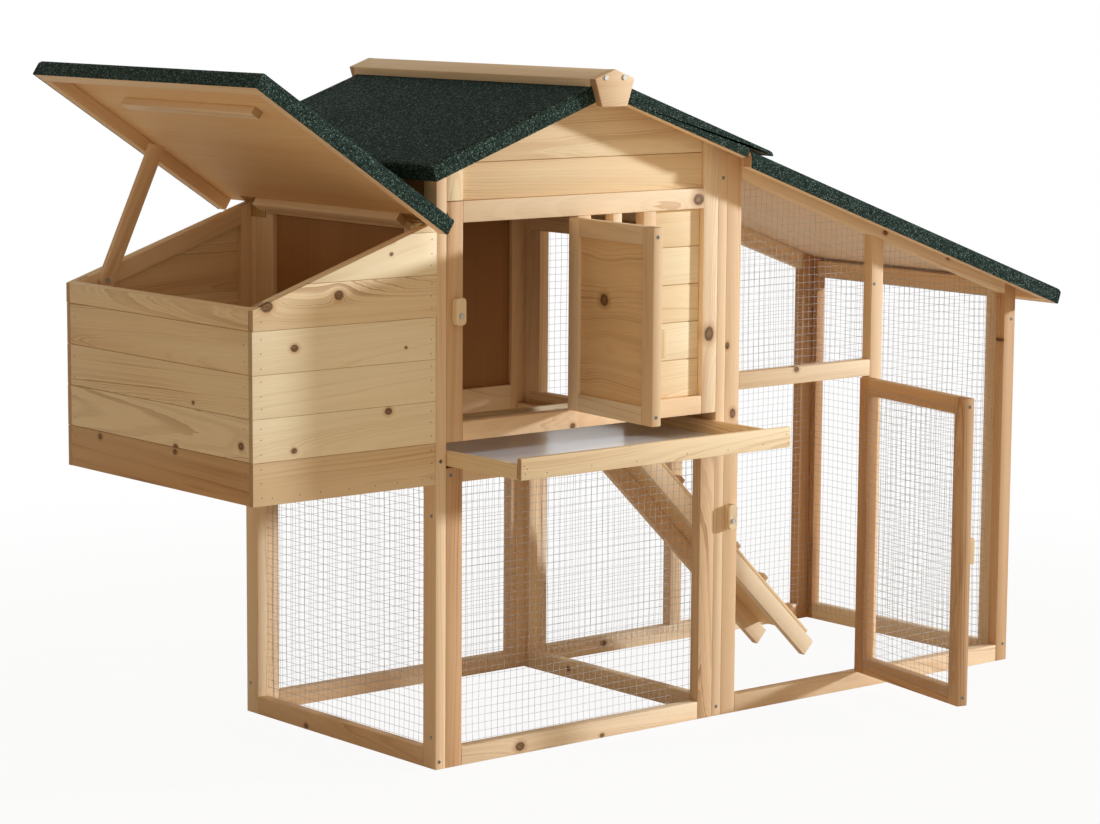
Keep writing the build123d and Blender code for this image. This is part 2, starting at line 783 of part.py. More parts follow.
# Doors: drawn on a plane that stands on the hinge pins, X towards the free edge, Y outwards
def door_plane(x, opened):
    """Plane of a door that stands open by an angle about its pins."""
    turn = radians(opened)
    return Plane(origin=(x, front - pin_stand, 0), x_dir=(-cos(turn), -sin(turn), 0), z_dir=(0, 0, 1))


def door_frame(plane, wide, thick, z_low, z_high):
    """Two stiles and two rails of a door."""
    near = door_gap / 2
    far = near + wide
    inner = -pin_stand - thick
    rail_near = near + stile_face
    rail_far = far - stile_face
    return [
        timber((near, inner, z_low), (rail_near, -pin_stand, z_high), plane),
        timber((rail_far, inner, z_low), (far, -pin_stand, z_high), plane),
        timber((rail_near, inner, z_low), (rail_far, -pin_stand, z_low + stile_face), plane),
        timber((rail_near, inner, z_high - stile_face), (rail_far, -pin_stand, z_high), plane),
    ]


def handle(plane, wide, z_low):
    """Handle block on the outer face of a door's free stile."""
    middle = door_gap / 2 + wide - stile_face / 2
    half = handle_size[0] / 2
    return timber(
        (middle - half, -pin_stand, z_low),
        (middle + half, -pin_stand + handle_size[1], z_low + handle_size[2]),
        plane,
    )


def hinge_pair(z_low, z_high):
    """Where the two hinges of a door start."""
    return (z_low + hinge_inset, z_high - hinge_inset - hinge_long)


house_pin_x = door_right - door_gap / 2
house_plane = door_plane(house_pin_x, house_door_open)
house_door_wide = house_opening - 2 * door_gap
house_door_low = upper_rail_top + door_gap
house_door_high = header_bottom - door_gap
save(
    "house_door_frame",
    door_frame(house_plane, house_door_wide, house_door_thick, house_door_low, house_door_high),
)
panel_y = -pin_stand - (house_door_thick + panel_thick) / 2
panel_near = door_gap / 2 + stile_face
panel_far = panel_near + house_door_wide - 2 * stile_face
save(
    "house_door_panel",
    [
        timber(
            (panel_near, panel_y, house_door_low + stile_face),
            (panel_far, panel_y + panel_thick, house_door_high - stile_face),
            house_plane,
        )
    ],
)
save("house_door_handle", [handle(house_plane, house_door_wide, house_handle_z)])

run_pin_x = centre_x - door_gap / 2
run_plane = door_plane(run_pin_x, run_door_open)
run_door_wide = run_opening - 2 * door_gap
run_door_low = rail_face + door_gap
run_door_high = run_door_top - door_gap
save("run_door_frame", door_frame(run_plane, run_door_wide, run_door_thick, run_door_low, run_door_high))
save("run_door_handle", [handle(run_plane, run_door_wide, run_handle_z)])

# Mesh of the run door, stapled over the inner face of its frame
door_net_edge = stile_face - net_lap
door_net_near = door_gap / 2 + door_net_edge
door_net_far = door_gap / 2 + run_door_wide - door_net_edge
door_net = net(
    [
        (door_net_near, run_door_low + door_net_edge),
        (door_net_far, run_door_low + door_net_edge),
        (door_net_far, run_door_high - door_net_edge),
        (door_net_near, run_door_high - door_net_edge),
    ],
    Plane(
        origin=(run_plane * Location((0, -pin_stand - run_door_thick, 0))).position,
        x_dir=run_plane.x_dir,
        z_dir=-run_plane.y_dir,
    ),
)
save("run_door_mesh", [door_net])

# Hinges: fixed leaves with their pins on the frames, moving leaves on doors and lid
fixed_turn = Vector(1, 0, 0)
house_fixed = Plane(origin=house_plane.origin, x_dir=fixed_turn, z_dir=(0, 0, -1))
run_fixed = Plane(origin=run_plane.origin, x_dir=fixed_turn, z_dir=(0, 0, -1))
lid_turn = radians(lid_open)
lid_axis = Vector(left - pin_stand, 0, lid_axis_z)
lid_fixed = Plane(origin=lid_axis, x_dir=(0, 0, -1), z_dir=(0, 1, 0))
lid_leaf_plane = Plane(origin=lid_axis, x_dir=(-cos(lid_turn), 0, sin(lid_turn)), z_dir=(0, 1, 0))
lid_hinges = (
    front + board_thick + nest_batten[0] + net_clear,
    back - board_thick - nest_batten[0] - net_clear - hinge_long,
)
fixed_leaves = []
for plane, low, high in (
    (house_fixed, house_door_low, house_door_high),
    (run_fixed, run_door_low, run_door_high),
):
    fixed_leaves += [leaf(plane, -z - hinge_long, -pin_stand, True) for z in hinge_pair(low, high)]
fixed_leaves += [leaf(lid_fixed, y, -pin_stand, True) for y in lid_hinges]
save("hinge_fixed_leaves", fixed_leaves)
save(
    "house_door_leaves",
    [leaf(house_plane, z, -pin_stand, False) for z in hinge_pair(house_door_low, house_door_high)],
)
save(
    "run_door_leaves",
    [leaf(run_plane, z, -pin_stand, False) for z in hinge_pair(run_door_low, run_door_high)],
)
save("lid_leaves", [leaf(lid_leaf_plane, y, 0, False) for y in lid_hinges])

# Nest lid, drawn on a plane through its pins: X out along the lid, Y towards the front, Z off its top
lid_plane = Plane(
    origin=lid_axis,
    x_dir=(-cos(lid_turn), 0, sin(lid_turn)),
    z_dir=(sin(lid_turn), 0, cos(lid_turn)),
)
lid_near = knuckle_radius + knuckle_gap
lid_far = lid_length - felt_thick
lid_half = sheet_back
save("lid_sheet", [timber((lid_near, -lid_half, 0), (lid_far, lid_half, sheet_thick), lid_plane)])

lid_battens = [
    timber((lid_near, y, -rim_high), (lid_far - rim_wide, y + rim_wide, 0), lid_plane)
    for y in (-lid_half, lid_half - rim_wide)
]
lid_battens.append(timber((lid_far - rim_wide, -lid_half, -rim_high), (lid_far, lid_half, 0), lid_plane))
nest_clear_x = (nest_reach - board_thick - pin_stand) / cos(radians(nest_pitch))
outer_batten_x = nest_clear_x - lid_batten_gap - lid_batten[0]
for start, inset in ((outer_batten_x, lid_batten_inset), (lid_near, hinge_batten_inset)):
    half = lid_half + felt_thick - inset
    lid_battens.append(
        timber((start, -half, -lid_batten[1]), (start + lid_batten[0], half, 0), lid_plane)
    )
save("lid_battens", lid_battens)

with BuildPart() as lid_felt:
    add(timber((lid_near, -roof_back, sheet_thick), (lid_length, roof_back, felt_top), lid_plane))
    for y in (-roof_back, lid_half):
        add(timber((lid_near, y, -rim_high), (lid_length, y + felt_thick, sheet_thick), lid_plane))
    add(timber((lid_far, -roof_back, -rim_high), (lid_length, roof_back, sheet_thick), lid_plane))
save("lid_felt", [lid_felt.part])

# Prop stick on its screw, flat against the slanted batten of the nest's back side
prop_x = left - prop_out
prop_z = nest_top(prop_x) - prop_below
prop_y = back - board_thick - nest_batten[0] - latch_gap
prop_turn = radians(prop_lean)
prop_plane = Plane(
    origin=(prop_x, prop_y, prop_z), x_dir=(cos(prop_turn), 0, -sin(prop_turn)), z_dir=(0, -1, 0)
)
half_prop = prop_face / 2
with BuildPart() as prop_stick:
    with BuildSketch(prop_plane):
        with BuildLine():
            Polyline(
                (-half_prop, 0),
                (-half_prop, prop_length - prop_bevel),
                (half_prop, prop_length),
                (half_prop, 0),
            )
            ThreePointArc((half_prop, 0), (0, -half_prop), (-half_prop, 0))
        make_face()
        Circle(screw_radius + pin_clear, mode=Mode.SUBTRACT)
    extrude(amount=prop_thick)
save("prop_stick", [prop_stick.part])


# Turn buttons for both doors, each free on its screw
def turn_button(plane):
    """A wooden turn button with its screw hole; the plane's Z points out of the frame."""
    wide, thick, high = latch_size
    with BuildPart() as piece:
        with BuildSketch(plane.offset(latch_gap)):
            with Locations((0, high / 2 - latch_pivot_up)):
                Rectangle(wide, high)
            Circle(screw_radius + pin_clear, mode=Mode.SUBTRACT)
        extrude(amount=thick)
    return piece.part


house_latch_x = door_left - post_face * 0.39
run_latch_x = wall_right + run_latch_in
house_latch_plane = Plane(origin=(house_latch_x, front, house_latch_z), x_dir=(1, 0, 0), z_dir=(0, -1, 0))
run_latch_plane = Plane(origin=(run_latch_x, front, run_latch_z), x_dir=(1, 0, 0), z_dir=(0, -1, 0))
save("house_latch", [turn_button(house_latch_plane)])
save("run_latch", [turn_button(run_latch_plane)])

# Round-head screws: the pivots of the two buttons and the prop, and those of the ridge blocks
button_reach = latch_size[1] + 2 * latch_gap
prop_screw_plane = Plane(
    origin=(prop_x, prop_y + latch_gap, prop_z), x_dir=(1, 0, 0), z_dir=(0, -1, 0)
)
pivot_screws = [screw(plane, button_reach) for plane in (house_latch_plane, run_latch_plane)]
pivot_screws.append(screw(prop_screw_plane, prop_thick + 2 * latch_gap))
save("round_head_screws", pivot_screws + ridge_screws)

# Pull-out tray: four boards around a thin sheet, which lies flush with their undersides
tray_left = front_left + tray_gap
tray_right = wall_left - tray_gap
tray_y = front - tray_out
tray_end = tray_y + tray_length
tray_rim = tray_bottom + tray_side
tray_in_front = tray_y + board_thick
tray_in_back = tray_end - board_thick
tray_boards = [
    timber((tray_left, tray_y, tray_bottom), (tray_right, tray_in_front, tray_bottom + tray_front)),
    timber((tray_left, tray_in_back, tray_bottom), (tray_right, tray_end, tray_rim)),
]
tray_boards += [
    timber((x, tray_in_front, tray_bottom), (x + board_thick, tray_in_back, tray_rim))
    for x in (tray_left, tray_right - board_thick)
]
save("tray_boards", tray_boards)
tray_floor = timber(
    (tray_left + board_thick, tray_in_front, tray_bottom),
    (tray_right - board_thick, tray_in_back, tray_bottom + tray_sheet),
)
save("tray_sheet", [tray_floor])
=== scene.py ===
import json
import math
import random

import bmesh
import bpy
import numpy as np
from mathutils import Matrix, Vector

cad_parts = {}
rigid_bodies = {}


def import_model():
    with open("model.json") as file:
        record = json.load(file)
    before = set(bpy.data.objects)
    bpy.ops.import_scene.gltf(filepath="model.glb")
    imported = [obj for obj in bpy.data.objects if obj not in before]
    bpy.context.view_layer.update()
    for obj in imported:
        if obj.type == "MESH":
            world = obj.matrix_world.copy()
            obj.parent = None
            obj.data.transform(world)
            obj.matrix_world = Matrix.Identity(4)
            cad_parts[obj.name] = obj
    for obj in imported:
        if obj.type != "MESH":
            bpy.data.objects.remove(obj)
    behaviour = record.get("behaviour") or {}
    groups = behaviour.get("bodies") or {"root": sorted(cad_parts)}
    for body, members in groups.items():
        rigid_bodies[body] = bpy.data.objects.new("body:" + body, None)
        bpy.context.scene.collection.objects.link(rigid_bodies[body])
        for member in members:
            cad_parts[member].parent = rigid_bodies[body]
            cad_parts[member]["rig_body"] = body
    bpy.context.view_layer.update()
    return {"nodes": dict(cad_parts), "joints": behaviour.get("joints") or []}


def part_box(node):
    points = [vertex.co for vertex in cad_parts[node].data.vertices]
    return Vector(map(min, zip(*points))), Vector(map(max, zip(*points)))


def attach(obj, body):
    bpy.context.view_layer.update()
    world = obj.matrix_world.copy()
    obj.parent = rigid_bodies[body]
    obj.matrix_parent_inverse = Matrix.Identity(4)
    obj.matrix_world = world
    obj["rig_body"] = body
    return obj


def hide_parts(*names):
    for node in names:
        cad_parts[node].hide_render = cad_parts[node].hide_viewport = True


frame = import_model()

# Panel frames: planed pine battens glued and stapled into ladders, one ladder for each side.
# The arrises are lightly taken off, and every batten is cut from a log of its own, so
# its rings, its tone and its knots are its own too, though a few redder tones are painted shade.


def paint(red, green, blue):
    """A colour as it is read off a picture, 0 to 255, made ready for a shader."""
    parts = (red / 255, green / 255, blue / 255)
    return tuple(c / 12.92 if c < 0.04045 else ((c + 0.055) / 1.055) ** 2.4 for c in parts) + (1.0,)


class Flow:
    """One socket of a material; sums on it add the maths nodes, put adds any other node."""

    def __init__(self, tree, socket=None):
        self.tree = tree
        self.socket = socket

    def put(self, kind, inputs, out=0, **settings):
        made = self.tree.nodes.new(kind)
        for name, value in settings.items():
            setattr(made, name, value)
        for name, value in inputs.items():
            if isinstance(value, Flow):
                self.tree.links.new(value.socket, made.inputs[name])
            else:
                made.inputs[name].default_value = value
        return Flow(self.tree, made.outputs[out])

    def other(self, out):
        return Flow(self.tree, self.socket.node.outputs[out])

    def sum(self, operation, *values):
        return self.put("ShaderNodeMath", dict(enumerate(values)), operation=operation)

    def __add__(self, more):
        return self.sum("ADD", self, more)

    def __sub__(self, less):
        return self.sum("SUBTRACT", self, less)

    def __rsub__(self, whole):
        return self.sum("SUBTRACT", whole, self)

    def __mul__(self, times):
        return self.sum("MULTIPLY", self, times)

    def __truediv__(self, parts):
        return self.sum("DIVIDE", self, parts)

    def __rtruediv__(self, whole):
        return self.sum("DIVIDE", whole, self)

    def __pow__(self, power):
        return self.sum("POWER", self, power)

    def __rpow__(self, base):
        return self.sum("POWER", base, self)

    __radd__ = __add__
    __rmul__ = __mul__

    def place(self):
        return self.put("ShaderNodeTexCoord", {}, out="Object")

    def attribute(self, name, out="Fac"):
        return self.put("ShaderNodeAttribute", {}, out=out, attribute_name=name)

    def part(self, place):
        return self.put("ShaderNodeSeparateXYZ", {0: self}, out=place)

    def stretch(self, x, y, z):
        return self.put("ShaderNodeMapping", {"Vector": self, "Scale": (x, y, z)})

    def noise(self, scale, detail=2.0, rough=0.5):
        values = {"Vector": self, "Scale": scale, "Detail": detail, "Roughness": rough}
        return self.put("ShaderNodeTexNoise", values)

    def cells(self, scale):
        return self.put("ShaderNodeTexVoronoi", {"Vector": self, "Scale": scale}, out="Distance")

    def ease(self, low, high, start=0.0, end=1.0):
        values = {"Value": self, "From Min": low, "From Max": high, "To Min": start, "To Max": end}
        return self.put("ShaderNodeMapRange", values, interpolation_type="SMOOTHSTEP")

    def blend(self, share, first, second):
        return self.put("ShaderNodeMix", {0: share, 6: first, 7: second}, out=2, data_type="RGBA")

    def into(self, colour, share):
        return self.blend(share, self, colour)

    def bump(self, strength, depth):
        return self.put("ShaderNodeBump", {"Strength": strength, "Distance": depth, "Height": self})


def finish(name, build):
    """A new material whose shader takes the sockets that build returns."""
    material = bpy.data.materials.new(name)
    material.use_nodes = True
    shader = material.node_tree.nodes["Principled BSDF"]
    for socket, value in build(Flow(material.node_tree)).items():
        if isinstance(value, Flow):
            material.node_tree.links.new(value.socket, shader.inputs[socket])
        else:
            shader.inputs[socket].default_value = value
    return material


def pine(name, pale, warm, late, pitch, mark, swirl=1.1):
    """Sawn softwood: the rings of a log, fibres along it, two marked knots and a few small ones.

    The tone of a board lies between pale and warm, and late is the dark wood of each ring. Pitch is
    the width of a ring, mark says how dark it is, and swirl how soon it wanders along the log.
    """
    red_wood, red_late, end_grain_shade = paint(198, 148, 98), paint(140, 88, 50), paint(150, 100, 56)
    pin_knot, knot_wood, knot_bark = paint(112, 70, 40), paint(122, 84, 52), paint(70, 45, 27)
    taper, drift, quiver = 0.02, 0.03, 0.0026
    no_knot, no_pip = 0.00001, 0.0001

    def build(flow):
        log = flow.attribute("log", "Vector")
        flat = flow.attribute("flat", "Vector")
        board = flow.attribute("board")
        end = flow.attribute("end")
        wander = log.stretch(swirl, 6.0, 6.0).noise(1.0, 2.0)
        ripple = log.stretch(7.0, 60.0, 60.0).noise(1.0, 3.0, 0.6)
        rings = (log.part(1) ** 2 + log.part(2) ** 2) ** 0.5 + log.part(0) * taper
        rings = rings + (wander - 0.5) * drift + (ripple - 0.5) * quiver

        # A marked knot pushes the rings aside. It has its own wood, a dark bark and a stain around it.
        inside, rim, around = 0.0, 0.0, 0.0
        for label in ("knot_a", "knot_b"):
            knot = flow.attribute(label, "Vector")
            along = flat.part(0) - knot.part(0)
            across = flat.part(1) - knot.part(1)
            size = knot.part(2) + no_knot
            away = ((along * 0.8) ** 2 + across**2) ** 0.5 + (ripple - 0.5) * size * 0.9
            share = away / size
            inside = inside + share.ease(0.75, 1.15, 1.0, 0.0)
            rim = rim + share.ease(0.45, 0.95) * share.ease(0.95, 1.25, 1.0, 0.0)
            around = around + share.ease(0.9, 2.4, 1.0, 0.0)
            rings = rings + size * 0.9 / (1.0 + (away / (size * 1.6)) ** 2)

        # The rings are not all as wide or as dark. Each darkens slowly and stops at a sharp edge.
        slow = flow.put(
            "ShaderNodeTexNoise", {"W": rings / (pitch * 4.0), "Detail": 1.0}, noise_dimensions="1D"
        )
        count = rings / pitch + slow * 5.0
        year = count.sum("FRACT", count)
        chance = flow.put("ShaderNodeTexWhiteNoise", {"W": count - year}, noise_dimensions="1D")
        fade = log.stretch(2.2, 22.0, 22.0).noise(1.0, 2.0).ease(0.36, 0.66)
        dark = year.ease(0.1, 0.9) * year.ease(0.92, 1.0, 1.0, 0.0)
        dark = dark * (chance**2 * 0.8 + 0.2) * (fade * 0.75 + 0.25)

        # Fibres, broad cloudy streaks, flames and a few small round knots with a halo.
        fibre = log.stretch(9.0, 480.0, 480.0).noise(1.0, 3.0, 0.65)
        broad = log.stretch(1.4, 20.0, 20.0).noise(1.0, 3.0, 0.55)
        flame = log.stretch(3.0, 34.0, 34.0).noise(1.0, 2.0).ease(0.62, 0.8)
        speck = log.stretch(160.0, 420.0, 420.0).noise(1.0, 2.0)
        spot = log.stretch(3.6, 8.0, 8.0).cells(1.0)
        lucky = spot.other("Color").part(0).ease(0.72, 0.98)
        pip = (spot / (lucky * 0.045 + no_pip)).ease(0.5, 1.1, 1.0, 0.0)
        halo = (spot / (lucky * 0.16 + no_pip)).ease(0.2, 1.0, 1.0, 0.0)

        # A tone over 1 makes a board redder and darker; on some boards that is painted shade.
        redder = board - 1.0
        stain = around - inside
        colour = flow.blend(board.ease(0.1, 0.95) * 0.6 + (broad - 0.5) * 1.1, pale, warm)
        colour = colour.into(red_wood, redder.ease(0.0, 1.0) * (0.6 + broad * 0.5))
        colour = colour.into(late, dark * mark + (fibre - 0.5) * 0.3 + halo * 0.25 + flame * 0.3)
        colour = colour.into(red_late, redder.ease(0.0, 0.3) * (dark * 0.7 + flame * 0.5))
        colour = colour.into(pin_knot, pip * 0.8)
        colour = colour.into(late, stain.sum("MAXIMUM", stain, 0.0) * 0.55)
        colour = colour.into(knot_wood, inside * (0.65 + speck * 0.5))
        colour = colour.into(knot_bark, rim * (ripple + speck * 0.5 - 0.15))
        # End faces across the fibres: darker end grain, darkened further as painted shade.
        colour = colour.into(end_grain_shade, end * (0.35 + speck * 0.5))
        height = fibre * 0.8 + dark * 0.2 - rim * 0.4
        return {
            "Base Color": colour,
            "Roughness": 0.7 - fibre * 0.16,
            "Normal": height.bump(0.14, 0.0005),
            "Specular IOR Level": 0.14,
        }

    return finish(name, build)


def alone(piece):
    """Makes this the one selected and active object."""
    bpy.ops.object.select_all(action="DESELECT")
    piece.hide_set(False)
    piece.select_set(True)
    bpy.context.view_layer.objects.active = piece


def merged(node, name):
    """A copy of a CAD node: the triangles of each closed solid joined, flat faces made whole."""
    source = frame["nodes"][node].data
    spots, faces, open_edges, known = [], [], set(), {}
    for face in source.polygons:
        ring = []
        for point in face.vertices:
            spot = tuple(round(c, 6) for c in source.vertices[point].co)
            if spot not in known:
                known[spot] = len(spots)
                spots.append(spot)
            ring.append(known[spot])
        faces.append(ring)
        for start, end in zip(ring, ring[1:] + ring[:1]):
            if (end, start) in open_edges:
                open_edges.remove((end, start))
            else:
                open_edges.add((start, end))
        if not open_edges:
            known = {}
    mesh = bpy.data.meshes.new(name)
    mesh.from_pydata(spots, [], faces)
    piece = bpy.data.objects.new(name, mesh)
    bpy.context.scene.collection.objects.link(piece)
    alone(piece)
    bpy.ops.object.mode_set(mode="EDIT")
    bpy.ops.mesh.select_all(action="SELECT")
    bpy.ops.mesh.dissolve_limited(angle_limit=math.radians(0.5))
    bpy.ops.object.mode_set(mode="OBJECT")
    return piece


def boards(piece):
    """The loose parts of a mesh, each as a list of its points."""
    owner = list(range(len(piece.data.vertices)))

    def root(point):
        while owner[point] != point:
            owner[point] = owner[owner[point]]
            point = owner[point]
        return point

    for edge in piece.data.edges:
        owner[root(edge.vertices[0])] = root(edge.vertices[1])
    groups = {}
    for point in range(len(owner)):
        groups.setdefault(root(point), []).append(point)
    return list(groups.values())


def grain(piece, seed, knots=(), grain_way=None, tones_and_shade=()):
    """Lays each board of a piece in a log of its own, and marks its knots and its tone.

    A knot is a place and a radius. A tone is a place on a board and a number, redder over 0 and
    paler under 0; on boards that stand in shadow some redder tones are painted shade. Boards
    without one get a tone by chance.
    """
    points = np.array([v.co for v in piece.data.vertices])
    log, flat, knot_a, knot_b, lengthways = (np.zeros((len(points), 3)) for i in range(5))
    tone = np.zeros(len(points))
    laid = []
    for count, group in enumerate(boards(piece)):
        chance = random.Random(seed * 1000 + count)
        here = points[group]
        centre = (here.min(0) + here.max(0)) / 2
        ways = np.linalg.eigh(np.cov((here - here.mean(0)).T))[1][:, ::-1]
        if grain_way is not None and abs(ways[:, 0] @ np.array(grain_way)) < 0.7:
            ways = ways[:, [1, 0, 2]]
        local = (here - centre) @ ways
        turn = chance.uniform(0.7, 1.57) * chance.choice((-1, 1))
        far = chance.uniform(0.035, 0.12)
        flat[group] = local
        lengthways[group] = ways[:, 0]
        log[group] = local + (chance.uniform(-9, 9), far * math.cos(turn), far * math.sin(turn))
        tone[group] = chance.random()
        laid.append((group, centre, ways, here.min(0), here.max(0)))

    def nearest(spot):
        gaps = [np.linalg.norm(spot - np.clip(spot, low, high)) for *rest, low, high in laid]
        return laid[int(np.argmin(gaps))]

    for x, y, z, more in tones_and_shade:
        tone[nearest(np.array((x, y, z)))[0]] = 1.0 + more
    for x, y, z, size in knots:
        spot = np.array((x, y, z))
        group, centre, ways = nearest(spot)[:3]
        along, across = ((spot - centre) @ ways)[:2]
        mark = knot_b if knot_a[group[0]].any() else knot_a
        mark[group] = (along, across, size)
    for label, values in (("log", log), ("flat", flat), ("knot_a", knot_a), ("knot_b", knot_b)):
        layer = piece.data.attributes.new(label, "FLOAT_VECTOR", "POINT")
        layer.data.foreach_set("vector", values.ravel())
    piece.data.attributes.new("board", "FLOAT", "POINT").data.foreach_set("value", tone)
    faces = piece.data.polygons
    ends = [float(abs(lengthways[f.vertices[0]] @ np.array(f.normal)) > 0.9) for f in faces]
    piece.data.attributes.new("end", "FLOAT", "FACE").data.foreach_set("value", ends)


def arrises(piece, width, clamp, smooth):
    """Takes the sharp edges off the active piece, and shades it smooth under an angle."""
    edges = piece.modifiers.new("arris", "BEVEL")
    edges.width = width
    edges.segments = 2
    edges.limit_method = "ANGLE"
    edges.angle_limit = math.radians(40)
    edges.use_clamp_overlap = clamp
    bpy.ops.object.modifier_apply(modifier="arris")
    bpy.ops.object.shade_smooth_by_angle(angle=math.radians(smooth))


def joinery(node, material, arris, seed, knots=(), grain_way=None, tones_and_shade=(), uneven=0.0, bored=False):
    """A wooden node with its arrises taken off and its grain laid, in place of the plain solid.

    Boards that are cut uneven lie a little to and fro. A bored piece has screw holes, whose many
    small edges would hold back the arrises, so its bevel isn't clamped.
    """
    piece = merged(node, node + "_wood")
    for count, group in enumerate(boards(piece) if uneven else ()):
        chance = random.Random(seed * 77 + count)
        here = np.array([piece.data.vertices[point].co for point in group])
        along = np.argmax(here.max(0) - here.min(0))
        slip = uneven * chance.uniform(-1, 1)
        for point in group:
            piece.data.vertices[point].co[along] += slip
    arrises(piece, arris, not bored, 35)
    grain(piece, seed, knots, grain_way, tones_and_shade)
    piece.data.materials.append(material)
    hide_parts(node)
    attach(piece, frame["nodes"][node]["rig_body"])


low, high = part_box("left_side_frame")
left, front, back = low.x, low.y, high.y
frame_arris = 0.0011
frame_pine = pine(
    "frame_pine", paint(251, 228, 194), paint(236, 198, 154), paint(192, 138, 88), pitch=0.005, mark=0.6
)
frame_knots = {
    "front_upper_frame": (
        (-0.0274, front, 0.6454, 0.0095),
        (-0.0537, front, 0.8667, 0.009),
        (-0.319, front, 0.518, 0.004),
        (-0.576, front, 0.862, 0.006),
    ),
    "front_lower_frame": ((-0.4236, front, 0.0123, 0.007), (-0.2516, front, 0.004, 0.0035)),
    "left_side_frame": ((left, 0.0879, 0.006, 0.004),),
    "partition_frame": ((-0.01, 0.1137, 0.0168, 0.004),),
    "run_back_frame": ((0.1782, 0.237, 0.0173, 0.0045),),
    "run_front_frame": (
        (0.0142, front, 0.6226, 0.0045),
        (0.0283, front, 0.5086, 0.006),
        (0.3808, front, 0.7919, 0.004),
        (0.5387, front, 0.7405, 0.004),
        (0.6845, front, 0.5847, 0.004),
        (0.6828, front, 0.6625, 0.0035),
        (0.1741, front, 0.5709, 0.004),
    ),
}
# Tones listed for battens. The paler ones and the slight redness of the lower front's right upright are
# the boards' own tone; the redder tones of the left front uprights, the run's right upright, the run's
# back and end uprights and the run door's frame are painted shade, where these battens stand in shadow.
frame_tones_and_shade = {
    "front_lower_frame": (
        (-0.3, front, 0.012, -0.9),
        (-0.56, front, 0.2, 0.65),
        (-0.02, front, 0.2, 0.3),
    ),
    "front_upper_frame": ((-0.56, front, 0.66, 0.5),),
    "run_front_frame": (
        (0.2, front, 0.571, -0.95),
        (0.7, front, 0.3, 0.6),
        (0.3563, front, 0.68, -0.95),
    ),
    "run_back_frame": ((0.7, 0.24, 0.4, 1.0),),
    "run_end_frame": ((0.706, 0.24, 0.4, 1.0),),
    # Painted shade on the run door's frame, whose inner faces stand in shadow.
    "run_door_frame": (
        (0.345, -0.28, 0.3, 1.2),
        (0.292, -0.545, 0.3, 0.6),
        (0.32, -0.41, 0.545, 0.6),
        (0.32, -0.41, 0.03, 0.6),
    ),
}
for seed, node in enumerate((
    "left_side_frame",
    "front_lower_frame",
    "front_upper_frame",
    "window_frame",
    "back_frame",
    "partition_frame",
    "tray_runners",
    "nest_battens",
    "run_front_frame",
    "run_back_frame",
    "run_end_frame",
    "ramp_stringers",
    "ramp_cleats",
    "roof_rims",
    "run_roof_rims",
    "ridge_cap_boards",
    "ridge_end_blocks",
    "house_door_frame",
    "run_door_frame",
    "lid_battens",
    "prop_stick",
), 11):
    knots, tones_and_shade = frame_knots.get(node, ()), frame_tones_and_shade.get(node, ())
    joinery(node, frame_pine, frame_arris, seed, knots, tones_and_shade=tones_and_shade, bored=True)

# Wall boards: thin planed pine, butted edge to edge and nailed to the panel frames. The siding
# and the nest's front are paler with little grain, and the nest's left side is of slow, dense wood.
# The ends of the nest boards don't quite line up.
board_arris, dense_arris = 0.0018, 0.001
nest_uneven = 0.0008
board_pine = pine(
    "board_pine", paint(253, 232, 194), paint(240, 206, 158), paint(190, 138, 84), pitch=0.005, mark=0.85
)
dense_pine = pine(
    "dense_pine",
    paint(253, 232, 194),
    paint(240, 206, 158),
    paint(178, 128, 76),
    pitch=0.0034,
    mark=1.0,
    swirl=0.4,
)
siding_pine = pine(
    "siding_pine", paint(255, 238, 202), paint(248, 220, 176), paint(210, 162, 108), pitch=0.005, mark=0.4
)
board_kinds = {
    "front_siding": siding_pine,
    "nest_front_boards": siding_pine,
    "nest_left_boards": dense_pine,
}
nest_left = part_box("nest_left_boards")[0].x
board_knots = {
    "nest_front_boards": (
        (-0.7779, front, 0.7549, 0.0065),
        (-0.8588, front, 0.681, 0.005),
        (-0.6853, front, 0.5726, 0.0052),
        (-0.8604, front, 0.5282, 0.0036),
        (-0.652, front, 0.6674, 0.002),
        (-0.9085, front, 0.7459, 0.008),
        (-0.6798, front, 0.8108, 0.0025),
    ),
    "nest_left_boards": (
        (nest_left, -0.226, 0.538, 0.005),
        (nest_left, -0.1, 0.5892, 0.0025),
        (nest_left, -0.0512, 0.5157, 0.0045),
        (nest_left, -0.0494, 0.508, 0.004),
        (nest_left, 0.1624, 0.507, 0.0045),
    ),
}
board_tones = {
    "nest_front_boards": (
        (-0.76, front, 0.48, 0.45),
        (-0.76, front, 0.545, -0.85),
        (-0.76, front, 0.61, -0.85),
        (-0.76, front, 0.675, -0.85),
        (-0.65, front, 0.74, 0.2),
    ),
    "nest_left_boards": ((nest_left, 0.0, 0.48, 0.75),),
}
for seed, node in enumerate((
    "front_gable_boards",
    "front_siding",
    "back_gable_boards",
    "partition_boards",
    "nest_front_boards",
    "nest_back_boards",
    "nest_left_boards",
    "tray_boards",
), 61):
    joinery(
        node,
        board_kinds.get(node, board_pine),
        dense_arris if node == "nest_left_boards" else board_arris,
        seed,
        board_knots.get(node, ()),
        tones_and_shade=board_tones.get(node, ()),
        uneven=nest_uneven if node.startswith("nest") else 0.0,
    )

